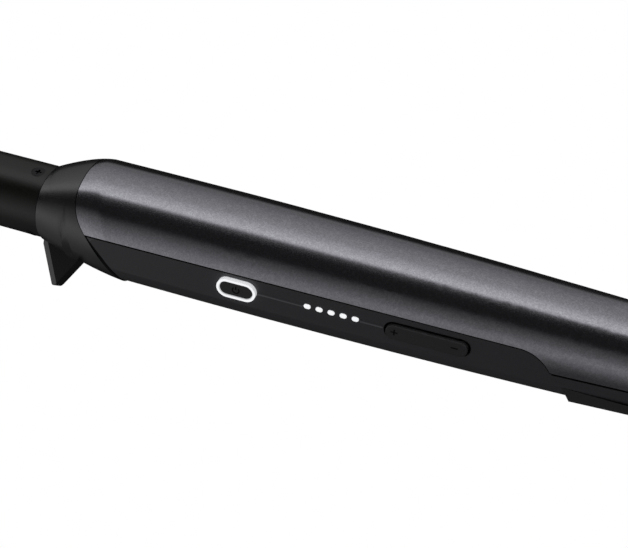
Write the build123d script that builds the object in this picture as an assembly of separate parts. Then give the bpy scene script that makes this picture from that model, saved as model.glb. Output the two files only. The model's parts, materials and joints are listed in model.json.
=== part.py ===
from build123d import *
import os
from math import atan, cos, degrees, radians, sin, sqrt, tan

# Curling iron without a clip: a heated barrel, a flared collar with a stand fin, and a two-part handle
# whose flat flank carries a lit power button, a row of lamps and a heat rocker.
# While building, X runs along the barrel from its tip to the cord end, X = 0 is the collar's front rim,
# Z is up, and the control flank looks towards -Y and down. All sizes are millimetres.

# Clearances
SEAT_GAP = 0.05
RUN_GAP = 0.06
MOVE_GAP = 0.2
SEAM_GAP = 0.25
REACH = 50.0
FAR = 400.0

# Barrel and its cool tip
BARREL_R = 11.0
BARREL_WALL = 1.2
BARREL_LENGTH = 152.0
BARREL_SEAT = 4.0
BARREL_SEAT_STEP = 0.2
BARREL_RIM_GAP = 0.5
TIP_LENGTH = 16.0
TIP_STEP = 0.1
TIP_ROUND = 7.0
TIP_PLUG = 9.0
TIP_PLUG_WALL = 1.6
TIP_GROOVE_X = 4.0
TIP_GROOVE = 0.5

# Screws that hold the barrel, countersunk
SCREW_X = -4.1
SCREW_COUNT = 3
SCREW_TURN = 43.6
SCREW_HEAD_R = 2.0
SCREW_SHANK_R = 1.0
SCREW_HEAD_H = 1.0
SCREW_LENGTH = 4.4
SCREW_SINK = 0.1
CROSS_WIDTH = 0.6
CROSS_DEPTH = 0.5

# Heater core inside the barrel
CORE_REAR = -36.0
CORE_FRONT_GAP = 11.0
HEATER_TAIL = 4.0
HEATER_WIDTH = 12.0
HEATER_THICK = 3.0
SENSOR_R = 1.2
SENSOR_LENGTH = 5.0
SENSOR_Z = 5.0
FUSE_R = 2.0
FUSE_LENGTH = 11.0
FUSE_LEAD_R = 0.5
FUSE_LEAD = 6.0
FUSE_Z = -5.2

# Barrel holder and the ring that clamps it in the handle
HOLDER_FRONT = -14.0
HOLDER_SHOULDER = 5.8
HOLDER_TUBE_R = 9.0
HOLDER_BORE_R = 5.6
CLAMP_THICK = 3.0

# Collar: a flare whose top is short and whose bottom is long
RIM_R = 11.6
FLARE_TOP = 15.7
FLARE_BOTTOM = 29.7
FLARE_EASE = 1.45
FLARE_SECTIONS = 5
SEAM_X = 13.1
SEAM_TURN_Z = -0.8
SEAM_SWEEP = 41.7
SEAM_BLEND = 18.0
COLLAR_STEP = 3.0
REGISTER_LIP = 3.0
REGISTER_WALL = 2.6

# Stand fin below the collar
FIN_THICK = 5.0
FIN_DEPTH = 23.7
FIN_TIP_X = 6.8
FIN_TIP_WIDTH = 1.3
FIN_TIP_ROUND = 0.8
FIN_FRONT_LEAN = 28.8
FIN_REAR_LEAN = 30.4
FIN_CHAMFER_ALONG = 2.0
FIN_CHAMFER_ACROSS = 1.1

# Handle
HANDLE_FRONT_R = 17.08
HANDLE_REAR_R = 13.9
HANDLE_END = 182.0
ARC_START = 34.0
HANDLE_WALL = 2.2
RIB_THICK = 2.0
RIB_HEIGHT = 3.0

# Parting line between the two handle shells, with its depths as shares of the handle's front radius
PART_FRONT_SHARE = 0.404
PART_TURN_X = 148.0
PART_TURN_SHARE = 0.3045
PART_DROP_X = 152.1
PART_DROP_SHARE = 0.5533
PART_REAR_SHARE = 0.4772
PART_TURN_ROUND = 11.0
PART_DROP_ROUND = 0.8

# Flat flanks and flat underside of the lower shell
PANEL_ANGLE = 52.0
PANEL_DEPTH = 0.77
PANEL_WALL = 2.3
PANEL_MID_X = 95.0
UNDERSIDE_DEPTH = 0.8

# Power button inside its light ring
RING_X = 65.7
RING_UP = 0.35
RING_LENGTH = 11.4
RING_WIDTH = 5.95
RING_BAND = 0.7
RING_PROUD = 1.25
RING_FLANGE = 0.8
RING_FLANGE_THICK = 0.8
RING_LEG_WIDTH = 2.4
BUTTON_PROUD = 1.15
BUTTON_TRAVEL = 0.5
BUTTON_FLANGE = 0.7
BUTTON_FLANGE_THICK = 0.8
BUTTON_STEM = 0.7
BUTTON_EDGE = 0.2

# Row of lamps
LAMP_X = 92.85
LAMP_UP = 0.5
LAMP_PITCH = 3.4
LAMP_COUNT = 5
LAMP_LENGTH = 1.95
LAMP_WIDTH = 1.5
LAMP_PROUD = 0.12
GUIDE_WIDTH = 4.0
GUIDE_THICK = 1.5
GUIDE_MARGIN = 2.6
GROOVE_WIDTH = 0.7
GROOVE_DEPTH = 0.9
GROOVE_MARGIN = 0.3

# Heat rocker
ROCKER_X = 119.4
ROCKER_LENGTH = 22.3
ROCKER_WIDTH = 4.5
ROCKER_ROUND = 2.1
ROCKER_PROUD = 1.0
ROCKER_THICK = 3.0
ROCKER_GAP = 0.65
ROCKER_SWING = 3.5
ROCKER_EDGE = 0.25
ROCKER_PIN_R = 0.8
ROCKER_PIN_DEPTH = 3.8
ROCKER_EAR = 4.0
ROCKER_FOOT = 1.6
ROCKER_FOOT_INSET = 3.6
LUG_WIDTH = 4.0
LUG_THICK = 1.7
LUG_MARGIN = 1.3
SADDLE_GAP = 0.4
SADDLE_THICK = 1.2

# Control board and what sits on it
BOARD_DEPTH = 8.3
BOARD_END_GAP = 1.3
BOARD_WIDTH = 14.0
BOARD_Y = -1.5
BOARD_THICK = 1.6
POST_R = 2.2
POST_INSET = 3.0
POST_Y = 4.2
BOARD_SCREW_R = 0.9
BOARD_SCREW_HEAD_R = 1.7
BOARD_SCREW_HEAD = 1.2
BOARD_SCREW_LENGTH = 5.0
SWITCH_SIDE = 5.2
SWITCH_HEIGHT = 2.6
PLUNGER_R = 1.5
PRESS_GAP = 0.1
CHIP_LENGTH = 1.6
CHIP_WIDTH = 2.2
CHIP_HEIGHT = 0.9
TRIAC_X = 14.0
TRIAC_SIZE = (15.0, 10.0, 4.4)
TRIAC_TAB = 1.3
TRIAC_TAB_LENGTH = 5.0
TRIAC_HOLE_R = 1.7
CAPACITOR_X = -24.0
CAPACITOR_SIZE = (15.0, 7.0, 9.0)
SMOOTHING_X = 30.0
SMOOTHING_R = 4.0
SMOOTHING_LENGTH = 11.0
CONTROLLER_X = -6.0
CONTROLLER_SIZE = (9.0, 6.0, 1.7)

# Wires
WIRE_R = 0.8
WIRE_BEND = 1.6
WIRE_LIFT = 3.2
HEATER_WIRE_Y = -4.4
HEATER_WIRE_Z = 1.2
HEATER_WIRE_OUT = 3.0
HEATER_WIRE_END = 8.0
MAINS_WIRE_STARTS = ((4.4, -10.3), (7.0, -9.4))
MAINS_WIRE_ENDS = ((4.0, -3.0), (8.0, -6.0))
MAINS_WIRE_TURN = 1.0

# Screws that close the handle
SHELL_SCREW_R = 1.25
SHELL_SCREW_HEAD_R = 2.4
SHELL_SCREW_HEAD = 1.6
SHELL_SCREW_SINK = 0.3
SHELL_SCREW_LENGTH = 12.0
BOSS_R = 3.2
BOSS_GAP = 0.9
TAIL_GAP = 3.0
BOSS_SPLIT_Z = -5.0

# Rest pad under the handle's rear
PAD_FRONT = 155.8
PAD_REAR_INSET = 1.0
PAD_TOP_WIDTH = 16.8
PAD_FOOT_WIDTH = 11.0
PAD_TOP_Z = -12.3
PAD_PROUD = 0.4
PAD_CONTACT_X = 168.0
PAD_NOSE = 2.6

# Rear cap and swivel cord gland
CAP_NECK = 12.0
CAP_NECK_R = 11.4
CAP_LENGTH = 5.0
CAP_ROUND = 3.0
CAP_RIB_INSET = 3.0
CAP_RIB_THICK = 2.0
CAP_RIB_R = 9.7
GLAND_R = 6.0
GLAND_HEAD_R = 8.6
GLAND_END_R = 6.4
GLAND_LENGTH = 12.0
GLAND_ROUND = 1.2
CORD_BORE_R = 3.5
GLAND_TAIL_R = 4.9
GLAND_TAIL = 18.0
CLIP_THICK = 2.0
CLIP_R = 8.4
CLIP_GROOVE = 0.6
CLIP_MOUTH_TURN = 30.0
SLIP_RING_WALL = 0.8
SLIP_RING_WIDTH = 2.0
SLIP_RING_SPACING = 5.0
SLIP_RING_INSET = 3.5
CONTACT_GAP = 0.3
CONTACT_THICK = 0.4
CONTACT_WIDTH = 1.6
CONTACT_TOP_Z = 2.5
BLOCK_TOP_Z = -9.2
BLOCK_WIDTH = 15.0
BLOCK_LENGTH = 12.0


# Values worked out from the sizes above
BARREL_BORE_R = BARREL_R - BARREL_WALL
BARREL_SEAT_R = BARREL_R - BARREL_SEAT_STEP
TIP_R = BARREL_R - TIP_STEP
ARC_DROP = HANDLE_FRONT_R - HANDLE_REAR_R
ARC_R = ((HANDLE_END - ARC_START) ** 2 + ARC_DROP ** 2) / (2 * ARC_DROP)
SHELL_BORE_R = HANDLE_FRONT_R - HANDLE_WALL
PART_FRONT_Z = -PART_FRONT_SHARE * HANDLE_FRONT_R
PART_TURN_Z = -PART_TURN_SHARE * HANDLE_FRONT_R
PART_DROP_Z = -PART_DROP_SHARE * HANDLE_FRONT_R
PART_REAR_Z = -PART_REAR_SHARE * HANDLE_FRONT_R
FLANK = Vector(0, -sin(radians(PANEL_ANGLE)), -cos(radians(PANEL_ANGLE)))

# Places along the iron, from the collar back to the rear cap
CORE_LENGTH = BARREL_LENGTH - TIP_PLUG - CORE_FRONT_GAP + CORE_REAR
CLAMP_X = FLARE_BOTTOM + REGISTER_LIP
RIB_X = CLAMP_X + CLAMP_THICK + SEAM_GAP
HOLDER_REAR = RIB_X
NECK_FRONT = HANDLE_END - CAP_NECK
CAP_RIB_X = NECK_FRONT + CAP_RIB_INSET
CAP_END = HANDLE_END + SEAM_GAP + CAP_LENGTH
CLIP_FRONT = NECK_FRONT - MOVE_GAP - CLIP_THICK
TAIL_FRONT = NECK_FRONT - GLAND_TAIL
SHELL_SCREWS = (RIB_X + RIB_THICK + BOSS_GAP + BOSS_R, TAIL_FRONT - TAIL_GAP - BOSS_R)
BOARD_FRONT = SHELL_SCREWS[0] + BOSS_R + BOARD_END_GAP - PANEL_MID_X
BOARD_REAR = SHELL_SCREWS[1] - BOSS_R - BOARD_END_GAP - PANEL_MID_X
BOARD_LENGTH = BOARD_REAR - BOARD_FRONT
BOARD_MIDDLE = (BOARD_FRONT + BOARD_REAR) / 2


def handle_radius(x):
    """Outer radius of the handle at x."""
    run = max(x - ARC_START, 0)
    return HANDLE_FRONT_R - (ARC_R - sqrt(ARC_R ** 2 - run ** 2))


def panel_surface(x):
    """Height of the flat flank at x above the panel frame, which touches it in the middle."""
    return -((x - PANEL_MID_X) ** 2) / (2 * ARC_R)


def panel_frame():
    """Plane on the flat flank: x along the handle, y up the flank, z out of it."""
    run = PANEL_MID_X - ARC_START
    slope = -run / sqrt(ARC_R ** 2 - run ** 2)
    origin = Vector(PANEL_MID_X, 0, 0) + FLANK * (handle_radius(PANEL_MID_X) - PANEL_DEPTH)
    along = Vector(1, 0, 0) + FLANK * slope
    outwards = FLANK - Vector(slope, 0, 0)
    return Plane(origin=origin, x_dir=along, z_dir=outwards)


PANEL = panel_frame()
BOARD_TOP = -BOARD_DEPTH
BOARD_UNDER = BOARD_TOP - BOARD_THICK

# The iron stands on the fin's tip and the rest pad, on a plane that slopes a little to its axis.
PAD_CONTACT_Z = -(handle_radius(PAD_CONTACT_X) + PAD_PROUD)
REST_TILT = atan((PAD_CONTACT_Z + FIN_DEPTH) / (PAD_CONTACT_X - FIN_TIP_X))


def rest_z(x):
    """Height of the rest plane at x."""
    return PAD_CONTACT_Z + (x - PAD_CONTACT_X) * tan(REST_TILT)


def side_face(*points):
    """Face in the upright plane through the axis, from (x, z) points."""
    return Plane.XZ * make_face(Polyline(*points, close=True))


def side_slab(face):
    """Solid that a side face sweeps right across the iron."""
    return extrude(face, 2 * REACH, both=True)


def turned(*points):
    """Solid of revolution about the axis, from (x, radius) points."""
    return revolve(side_face(*points), Axis.X)


def tube(start, end, outer, inner):
    """Straight tube about the axis."""
    return turned((start, inner), (end, inner), (end, outer), (start, outer))


def rod(start, end, radius):
    """Straight rod about the axis."""
    return turned((start, 0), (end, 0), (end, radius), (start, radius))


def rounded(face, corner, radius):
    """The side face with the corner nearest to an (x, z) point rounded."""
    vertex = face.vertices().sort_by_distance((corner[0], 0, corner[1]))[0]
    return fillet(vertex, radius)


def outline_edges(inset, start):
    """The handle's outline from start to its end, drawn inwards by inset."""
    turn = (ARC_START, HANDLE_FRONT_R - inset)
    rear = (HANDLE_END, HANDLE_REAR_R - inset)
    return [Line((start, turn[1]), turn), TangentArc(turn, rear, tangent=(1, 0))]


def handle_form(inset, start):
    """Turned form of the handle, smaller all round by inset."""
    edges = outline_edges(inset, start)
    rear_r = HANDLE_REAR_R - inset
    edges += [Line((HANDLE_END, rear_r), (HANDLE_END, 0)), Line((HANDLE_END, 0), (start, 0))]
    edges += [Line((start, 0), (start, HANDLE_FRONT_R - inset))]
    return revolve(Plane.XZ * make_face(edges), Axis.X)


def flat_cutter(depth, angle):
    """Tool that leaves a flat of the given depth along the handle; angle is from straight down."""
    start = -REACH
    beyond = HANDLE_END + REACH
    rear_r = HANDLE_REAR_R - depth
    top = HANDLE_FRONT_R + REACH
    edges = outline_edges(depth, start)
    edges += [Line((HANDLE_END, rear_r), (beyond, rear_r)), Line((beyond, rear_r), (beyond, top))]
    edges += [Line((beyond, top), (start, top)), Line((start, top), (start, HANDLE_FRONT_R - depth))]
    slab = extrude(Plane.XZ * make_face(edges), REACH, both=True)
    return Rot(180 + angle, 0, 0) * slab


def flare_section(share):
    """Ellipse of the collar's flare, at a share of its length."""
    ease = 1 - (1 - share) ** FLARE_EASE
    radius = RIM_R + (HANDLE_FRONT_R - RIM_R) * ease
    top = Vector(FLARE_TOP * share, 0, radius)
    bottom = Vector(FLARE_BOTTOM * share, 0, -radius)
    upright = top - bottom
    plane = Plane((top + bottom) * 0.5, x_dir=upright, z_dir=Vector(upright.Z, 0, -upright.X))
    return plane * Ellipse(upright.length / 2, radius)


def flare_form():
    """Flare from the barrel's rim to the handle."""
    steps = FLARE_SECTIONS - 1
    return loft([flare_section(step / steps) for step in range(FLARE_SECTIONS)])


def seam_front(shift):
    """Everything in front of the seam between the collar and the shells, moved back by shift."""
    x = SEAM_X + shift
    sweep_x = x + (REACH + SEAM_TURN_Z) * tan(radians(SEAM_SWEEP))
    face = side_face((-REACH, REACH), (x, REACH), (x, SEAM_TURN_Z), (sweep_x, -REACH), (-REACH, -REACH))
    return side_slab(rounded(face, (x, SEAM_TURN_Z), SEAM_BLEND))


def below_parting(drop):
    """Everything below the parting line of the shells, moved down by drop."""
    rear_x = HANDLE_END + REACH
    rear_slope = (PART_REAR_Z - PART_DROP_Z) / (HANDLE_END - PART_DROP_X)
    front_slope = (PART_TURN_Z - PART_FRONT_Z) / PART_TURN_X
    points = [
        (-REACH, PART_FRONT_Z - front_slope * REACH - drop),
        (PART_TURN_X, PART_TURN_Z - drop),
        (PART_DROP_X, PART_DROP_Z - drop),
        (rear_x, PART_REAR_Z + rear_slope * REACH - drop),
        (rear_x, -REACH),
        (-REACH, -REACH),
    ]
    face = rounded(side_face(*points), points[1], PART_TURN_ROUND)
    return side_slab(rounded(face, points[2], PART_DROP_ROUND))


def shell_outside():
    """Outer form of the whole handle behind the collar's seam."""
    lean = (FLARE_BOTTOM - FLARE_TOP) / (2 * HANDLE_FRONT_R)
    top_x = FLARE_TOP - (REACH - HANDLE_FRONT_R) * lean
    bottom_x = FLARE_BOTTOM + (REACH - HANDLE_FRONT_R) * lean
    rear_x = HANDLE_END + REACH
    behind = side_slab(side_face((top_x, REACH), (rear_x, REACH), (rear_x, -REACH), (bottom_x, -REACH)))
    return (flare_form() - seam_front(SEAM_GAP)) + (handle_form(0, 0) & behind)


def shell_inside():
    """Hollow of the handle, narrowed by the ring ribs that hold the clamp ring and the rear cap."""
    hollow = handle_form(HANDLE_WALL, SEAM_X - REGISTER_LIP)
    hollow -= tube(RIB_X, RIB_X + RIB_THICK, HANDLE_FRONT_R, SHELL_BORE_R - RIB_HEIGHT)
    return hollow - tube(CAP_RIB_X, CAP_RIB_X + CAP_RIB_THICK, HANDLE_FRONT_R, CAP_RIB_R)


def across_panel(x, shape):
    """Shape moved from the panel frame to the place at x on the flank."""
    return PANEL * (Pos(x - PANEL_MID_X, 0, 0) * shape)


def panel_prism(x, sketch, low, high):
    """Prism on the flank at x, between two heights of the panel frame."""
    return across_panel(x, Pos(0, 0, low) * extrude(sketch, high - low))


def stadium(length, width, grow=0.0):
    """Slot outline, larger all round by grow."""
    return SlotOverall(length + 2 * grow, width + 2 * grow)


def ring_outline(grow=0.0):
    """Outline of the light ring, larger all round by grow."""
    return Pos(0, RING_UP) * stadium(RING_LENGTH, RING_WIDTH, grow)


def lamp_places():
    """Places of the lamps along the handle."""
    first = LAMP_X - LAMP_PITCH * (LAMP_COUNT - 1) / 2
    return [first + LAMP_PITCH * step for step in range(LAMP_COUNT)]


def lamp_outline(grow):
    """Outline of one lamp, larger all round by grow."""
    return Pos(0, LAMP_UP) * stadium(LAMP_LENGTH, LAMP_WIDTH, grow)


def radial_places():
    """Places of the barrel's screws, each with z pointing outwards from the axis."""
    turns = [SCREW_TURN + 360 * step / SCREW_COUNT for step in range(SCREW_COUNT)]
    return [Rot(90 - turn, 0, 0) * Pos(SCREW_X, 0, 0) for turn in turns]


def screw_form(grow):
    """Countersunk barrel screw, larger all round by grow."""
    top = BARREL_R - SCREW_SINK
    head_low = top - SCREW_HEAD_H
    head = Cone(SCREW_SHANK_R + grow, SCREW_HEAD_R + grow, SCREW_HEAD_H)
    shank = Cylinder(SCREW_SHANK_R + grow, SCREW_LENGTH)
    return Pos(0, 0, head_low + SCREW_HEAD_H / 2) * head + Pos(0, 0, head_low - SCREW_LENGTH / 2) * shank


def wire(points):
    """Round wire along straight runs joined by bends."""
    path = FilletPolyline(*points, radius=WIRE_BEND)
    section = Plane(origin=path @ 0, z_dir=path % 0) * Circle(WIRE_R)
    return sweep(section, path=path)


def panel_point(x, y, z):
    """Point given in the panel frame, as a point of the iron."""
    return PANEL.from_local_coords(Vector(x, y, z))


def make_barrel():
    """Coated barrel tube with its countersunk screw holes and a slightly slimmer seat in the collar."""
    shape = tube(-BARREL_LENGTH, -BARREL_RIM_GAP, BARREL_R, BARREL_BORE_R)
    shape += tube(-BARREL_RIM_GAP, BARREL_SEAT, BARREL_SEAT_R, BARREL_BORE_R)
    for place in radial_places():
        shape -= place * screw_form(SEAT_GAP)
        mouth = Cylinder(SCREW_HEAD_R + SEAT_GAP, BARREL_WALL)
        shape -= place * Pos(0, 0, BARREL_R - SCREW_SINK + BARREL_WALL / 2) * mouth
    return shape


def make_barrel_tip():
    """Cool tip with a plug that fits inside the barrel."""
    front = -BARREL_LENGTH - TIP_LENGTH
    body = rod(front, -BARREL_LENGTH, TIP_R)
    body = fillet(body.edges().sort_by(Axis.X)[0], TIP_ROUND)
    groove_x = -BARREL_LENGTH - TIP_GROOVE_X
    body -= tube(groove_x - TIP_GROOVE, groove_x + TIP_GROOVE, BARREL_R, TIP_R - TIP_GROOVE)
    plug_r = BARREL_BORE_R - SEAT_GAP
    plug_end = -BARREL_LENGTH + TIP_PLUG
    return body + tube(-BARREL_LENGTH, plug_end, plug_r, plug_r - TIP_PLUG_WALL)


def make_barrel_screws():
    """Countersunk screws round the barrel's root."""
    screw = screw_form(0)
    for turn in (0, 90):
        bar = Box(2 * SCREW_SHANK_R, CROSS_WIDTH, 2 * CROSS_DEPTH)
        screw -= Pos(0, 0, BARREL_R - SCREW_SINK) * Rot(0, 0, turn) * bar
    return Compound([place * screw for place in radial_places()])


def spreader_half(bore_r, bore_z):
    """Half-round heat spreader with a bore along it."""
    radius = BARREL_BORE_R - SEAT_GAP
    shape = rod(CORE_REAR - CORE_LENGTH, CORE_REAR, radius)
    side = 1 if bore_z > 0 else -1
    gap = side_face((-FAR, -side * FAR), (FAR, -side * FAR), (FAR, side * HEATER_THICK / 2),
                    (-FAR, side * HEATER_THICK / 2))
    shape -= side_slab(gap)
    return shape - Pos(0, 0, bore_z) * rod(CORE_REAR - CORE_LENGTH, CORE_REAR, bore_r + SEAT_GAP)


def make_heater_plate():
    """Ceramic heater plate between the spreaders, with a tail for its wires."""
    middle = CORE_REAR - (CORE_LENGTH - HEATER_TAIL) / 2
    return Pos(middle, 0, 0) * Box(CORE_LENGTH + HEATER_TAIL, HEATER_WIDTH, HEATER_THICK)


def make_temperature_sensor():
    """Glass bead sensor in the upper spreader."""
    end = CORE_REAR - CORE_LENGTH / 2
    bead = rod(end - SENSOR_LENGTH, end, SENSOR_R)
    bead = fillet(bead.edges(), SENSOR_R / 2)
    return Pos(0, 0, SENSOR_Z) * bead


def make_thermal_fuse():
    """Thermal fuse with its two leads in the lower spreader."""
    middle = CORE_REAR - CORE_LENGTH / 2
    half = FUSE_LENGTH / 2
    body = rod(middle - half, middle + half, FUSE_R)
    leads = rod(middle - half - FUSE_LEAD, middle + half + FUSE_LEAD, FUSE_LEAD_R)
    return Pos(0, 0, FUSE_Z) * (body + leads)


def make_barrel_holder():
    """Heat-resistant holder: spigot in the barrel, shoulder behind it and a tube into the handle."""
    spigot_r = BARREL_BORE_R - SEAT_GAP
    shoulder_end = BARREL_SEAT + HOLDER_SHOULDER
    shape = rod(HOLDER_FRONT, BARREL_SEAT, spigot_r)
    shape += rod(BARREL_SEAT, shoulder_end, BARREL_SEAT_R)
    shape += rod(shoulder_end, HOLDER_REAR, HOLDER_TUBE_R)
    shape -= rod(HOLDER_FRONT, HOLDER_REAR, HOLDER_BORE_R)
    for place in radial_places():
        shape -= place * screw_form(SEAT_GAP)
    return shape


def make_clamp_ring():
    """Ring on the holder's tube, caught between the collar and the shells' ribs."""
    return tube(CLAMP_X, CLAMP_X + CLAMP_THICK, SHELL_BORE_R - SEAT_GAP, HOLDER_TUBE_R + SEAT_GAP)


def fin_form():
    """Stand fin: a leaning triangle with chamfered leading edges and a small flat foot."""
    half = FIN_TIP_WIDTH / 2
    root_z = -RIM_R + HANDLE_WALL
    tip_front = (FIN_TIP_X - half, rest_z(FIN_TIP_X - half))
    tip_rear = (FIN_TIP_X + half, rest_z(FIN_TIP_X + half))
    front_z = tip_front[1] + tip_front[0] / tan(radians(FIN_FRONT_LEAN))
    rear_x = tip_rear[0] + (root_z - tip_rear[1]) * tan(radians(FIN_REAR_LEAN))
    face = side_face((0, root_z), (0, front_z), tip_front, tip_rear, (rear_x, root_z))
    face = rounded(rounded(face, tip_front, FIN_TIP_ROUND), tip_rear, FIN_TIP_ROUND)
    fin = extrude(face, FIN_THICK / 2, both=True)
    lean = Vector(tip_front[0], 0, tip_front[1] - front_z).normalized()
    edge_plane = Plane(Vector(0, 0, front_z), x_dir=Vector(-lean.Z, 0, lean.X), z_dir=lean)
    outer_y = FIN_THICK / 2 + FIN_CHAMFER_ACROSS
    inner_y = FIN_THICK / 2 - 2 * FIN_CHAMFER_ACROSS
    for side in (1, -1):
        corners = [(-FIN_CHAMFER_ALONG, side * inner_y), (2 * FIN_CHAMFER_ALONG, side * outer_y),
                   (-FIN_CHAMFER_ALONG, side * outer_y)]
        fin -= extrude(edge_plane * make_face(Polyline(*corners, close=True)), FIN_DEPTH, both=True)
    return fin


def make_front_collar():
    """Flared collar with its register lip and stand fin."""
    outer = (flare_form() & seam_front(0)) + fin_form()
    lip_r = SHELL_BORE_R - SEAT_GAP
    lip = tube(SEAM_X - REGISTER_LIP, FLARE_BOTTOM + REGISTER_LIP, lip_r, lip_r - REGISTER_WALL)
    lip &= seam_front(REGISTER_LIP)
    lip &= rod(SEAM_X - REGISTER_LIP, CLAMP_X - SEAM_GAP, lip_r)
    shape = outer + (lip & flare_envelope())
    shoulder = BARREL_SEAT + HOLDER_SHOULDER + SEAT_GAP
    step_end = shoulder + COLLAR_STEP
    shape -= rod(-REGISTER_LIP, shoulder, BARREL_SEAT_R + SEAT_GAP)
    shape -= rod(shoulder, step_end, HOLDER_TUBE_R + SEAT_GAP)
    cavity_mid = FLARE_TOP + REGISTER_LIP
    shape -= turned((step_end, 0), (CLAMP_X, 0), (CLAMP_X, lip_r - REGISTER_WALL),
                    (cavity_mid, lip_r - REGISTER_WALL), (step_end, BARREL_R))
    return shape


def flare_envelope():
    """Flare continued by the handle's cylinder, for trimming the register lip."""
    return flare_form() + rod(0, CLAMP_X, SHELL_BORE_R)


def make_upper_shell():
    """Metallic-painted upper shell with its screw bosses and a relief behind the light ring."""
    shape = shell_outside() - below_parting(0) - shell_inside()
    roof = handle_form(HANDLE_WALL / 2, SEAM_X)
    for x in SHELL_SCREWS:
        height = handle_radius(x) - BOSS_SPLIT_Z
        boss = Pos(x, 0, BOSS_SPLIT_Z + height / 2) * Cylinder(BOSS_R, height)
        depth = shell_screw_seat(x) + SHELL_SCREW_LENGTH + MOVE_GAP - BOSS_SPLIT_Z
        pilot = Pos(x, 0, BOSS_SPLIT_Z + depth / 2) * Cylinder(SHELL_SCREW_R + SEAT_GAP, depth)
        shape += (boss & roof) - pilot
    return shape - panel_prism(RING_X, ring_outline(SEAM_GAP), ring_low(), 0)


def make_lower_shell():
    """Black lower shell with flat flanks, control openings, board posts, rocker lugs and bosses."""
    wall = across_panel(PANEL_MID_X, Pos(0, 0, FAR / 2 - PANEL_WALL) * Box(FAR, FAR, FAR))
    wall &= Pos(RIB_X + RIB_THICK + FAR / 2, 0, 0) * Box(FAR, FAR, FAR)
    hollow = shell_inside() - wall
    shape = lower_outside() - hollow
    shape += panel_fittings() & hollow
    for x in SHELL_SCREWS:
        height = BOSS_SPLIT_Z - SEAM_GAP + handle_radius(x)
        boss = Pos(x, 0, BOSS_SPLIT_Z - SEAM_GAP - height / 2) * Cylinder(BOSS_R, height)
        shape += boss & hollow
    return shape - panel_openings() - shell_screw_holes()


def lower_outside():
    """Outer form of the lower shell."""
    shape = shell_outside() & below_parting(SEAM_GAP)
    for angle in (PANEL_ANGLE, -PANEL_ANGLE):
        shape -= flat_cutter(PANEL_DEPTH, angle)
    return shape - flat_cutter(UNDERSIDE_DEPTH, 0)


def panel_fittings():
    """Posts for the board and a saddle with two lugs for the rocker, on the inside of the flank."""
    post_height = BOARD_DEPTH - PANEL_WALL
    fittings = []
    post = Pos(0, 0, BOARD_THICK + post_height / 2) * Cylinder(POST_R, post_height)
    post -= Cylinder(BOARD_SCREW_R + SEAT_GAP, 2 * BOARD_SCREW_LENGTH + SEAT_GAP)
    for place in board_screw_places():
        fittings.append(PANEL * (place * post))
    low = -(ROCKER_PIN_DEPTH + LUG_MARGIN + SADDLE_GAP + SADDLE_THICK)
    lug_height = -PANEL_WALL - low
    lug_y = ROCKER_WIDTH / 2 + ROCKER_GAP + LUG_THICK / 2
    saddle = Pos(0, 0, low + SADDLE_THICK / 2) * Box(LUG_WIDTH, 2 * lug_y, SADDLE_THICK)
    for side in (-1, 1):
        saddle += Pos(0, side * lug_y, low + lug_height / 2) * Box(LUG_WIDTH, LUG_THICK, lug_height)
    fittings.append(across_panel(ROCKER_X, saddle))
    bore = rocker_axis_rod(ROCKER_PIN_R + SEAT_GAP, BOARD_WIDTH)
    return Compound(fittings) - bore


def rocker_axis_rod(radius, length):
    """Rod on the rocker's hinge axis."""
    return across_panel(ROCKER_X, Pos(0, 0, -ROCKER_PIN_DEPTH) * Rot(90, 0, 0) * Cylinder(radius, length))


def panel_openings():
    """Openings of the flank for the ring, the lamps and the rocker, with the fine groove between them."""
    cuts = panel_prism(RING_X, ring_outline(SEAT_GAP), -PANEL_WALL, REACH)
    for x in lamp_places():
        cuts += panel_prism(x, lamp_outline(SEAT_GAP), -PANEL_WALL, REACH)
    window = RectangleRounded(ROCKER_LENGTH + 2 * ROCKER_GAP, ROCKER_WIDTH + 2 * ROCKER_GAP,
                              ROCKER_ROUND + ROCKER_GAP)
    cuts += panel_prism(ROCKER_X, window, -PANEL_WALL, REACH)
    return cuts + groove_form()


def groove_form():
    """Fine V-groove from the ring to the first lamp and from the last lamp to the rocker."""
    places = lamp_places()
    lamp_end = LAMP_LENGTH / 2 + GROOVE_MARGIN
    spans = [
        (RING_X + RING_LENGTH / 2 + GROOVE_MARGIN, places[0] - lamp_end),
        (places[-1] + lamp_end, ROCKER_X - ROCKER_LENGTH / 2 - ROCKER_GAP - GROOVE_MARGIN),
    ]
    corners = [(-GROOVE_WIDTH, GROOVE_DEPTH), (0, -GROOVE_DEPTH), (GROOVE_WIDTH, GROOVE_DEPTH)]
    section = Plane.YZ * (Pos(LAMP_UP, 0) * make_face(Polyline(*corners, close=True)))
    runs = []
    for start, end in spans:
        middle = (start + end) / 2
        run = extrude(section, (end - start) / 2, both=True)
        runs.append(across_panel(middle, Pos(0, 0, panel_surface(middle)) * run))
    return Compound(runs)


def shell_screw_holes():
    """Clearance holes and head recesses in the underside."""
    holes = []
    for x in SHELL_SCREWS:
        seat = shell_screw_seat(x)
        shank = Cylinder(SHELL_SCREW_R + SEAT_GAP, 2 * REACH)
        head = Pos(0, 0, seat - REACH) * Cylinder(SHELL_SCREW_HEAD_R + SEAT_GAP, 2 * REACH)
        holes.append(Pos(x, 0, 0) * shank + Pos(x, 0, 0) * head)
    return Compound(holes)


def shell_screw_seat(x):
    """Height of the face that a shell screw's head bears on."""
    underside = -(handle_radius(x) - UNDERSIDE_DEPTH)
    return underside + SHELL_SCREW_HEAD + SHELL_SCREW_SINK


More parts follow.
